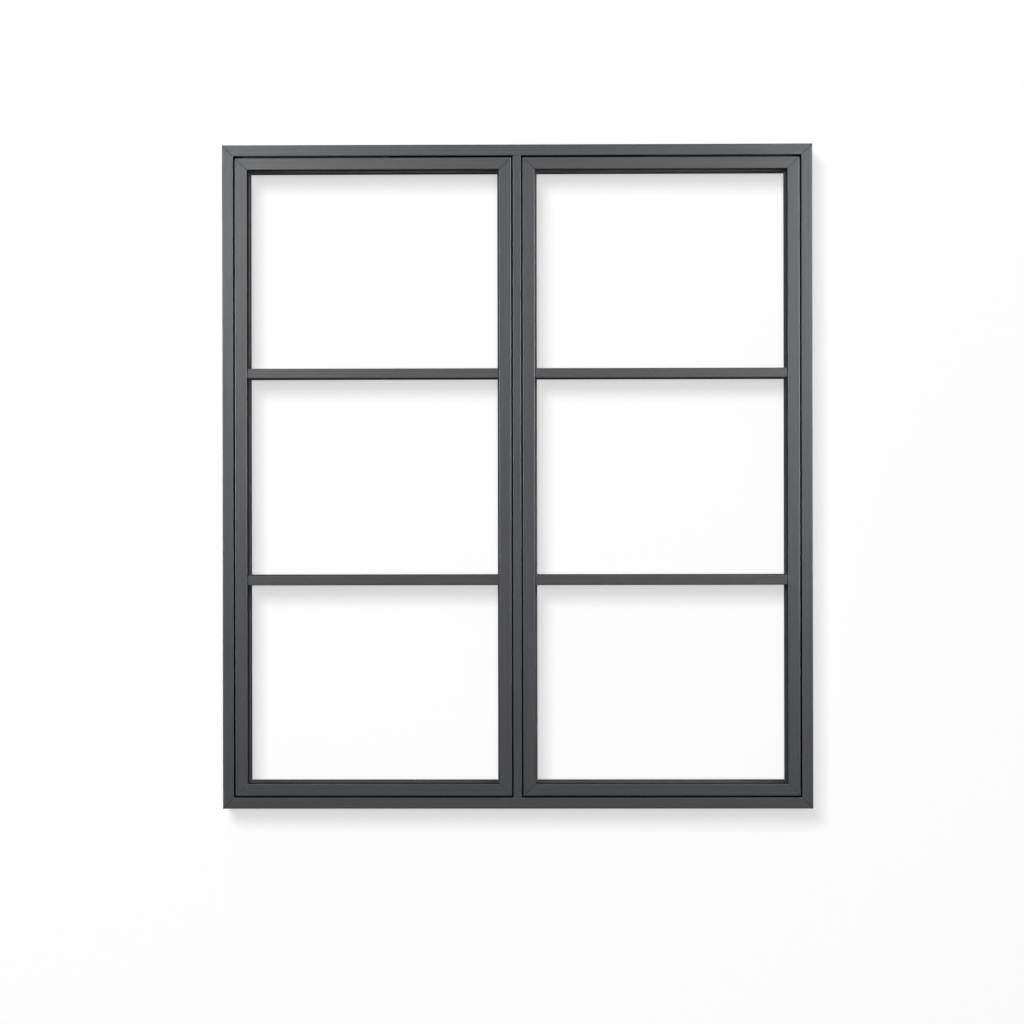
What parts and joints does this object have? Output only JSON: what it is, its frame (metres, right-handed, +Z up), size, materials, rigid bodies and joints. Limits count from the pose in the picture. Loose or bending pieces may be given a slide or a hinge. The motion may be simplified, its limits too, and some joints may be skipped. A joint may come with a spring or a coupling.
{
  "type": "double casement window frame",
  "caption": "Unglazed metal window frame: fixed outer frame with central mullion and flush casement sashes, each divided by horizontal glazing bars.",
  "frame": {"origin": "middle of the underside of the sill, halfway between the outdoor face and the room face", "axes": "+X to the right seen from outdoors, +Y from the outdoor face back into the room, +Z up"},
  "size_m": [1.2, 0.06, 1.35],
  "materials": {
    "frame_coat": "satin anthracite powder coat",
    "sash_coat": "satin anthracite powder coat",
    "gasket_rubber": "matt",
    "stay_steel": "black passivated"
  },
  "bodies": {
    "root": {"frame_sill": "frame_coat", "frame_head": "frame_coat", "frame_left_jamb": "frame_coat", "frame_right_jamb": "frame_coat", "frame_mullion": "frame_coat", "left_sash_bottom_rail": "sash_coat", "left_sash_top_rail": "sash_coat", "left_sash_outer_stile": "sash_coat", "left_sash_meeting_stile": "sash_coat", "left_sash_lower_bar": "sash_coat", "left_sash_upper_bar": "sash_coat", "left_sash_lower_beads": "sash_coat", "left_sash_lower_seal": "gasket_rubber", "left_sash_middle_beads": "sash_coat", "left_sash_middle_seal": "gasket_rubber", "left_sash_upper_beads": "sash_coat", "left_sash_upper_seal": "gasket_rubber", "left_sash_gasket": "gasket_rubber", "left_sash_bottom_stay": "stay_steel", "left_sash_top_stay": "stay_steel", "right_sash_bottom_rail": "sash_coat", "right_sash_top_rail": "sash_coat", "right_sash_outer_stile": "sash_coat", "right_sash_meeting_stile": "sash_coat", "right_sash_lower_bar": "sash_coat", "right_sash_upper_bar": "sash_coat", "right_sash_lower_beads": "sash_coat", "right_sash_lower_seal": "gasket_rubber", "right_sash_middle_beads": "sash_coat", "right_sash_middle_seal": "gasket_rubber", "right_sash_upper_beads": "sash_coat", "right_sash_upper_seal": "gasket_rubber", "right_sash_gasket": "gasket_rubber", "right_sash_bottom_stay": "stay_steel", "right_sash_top_stay": "stay_steel"}
  },
  "joints": []
}
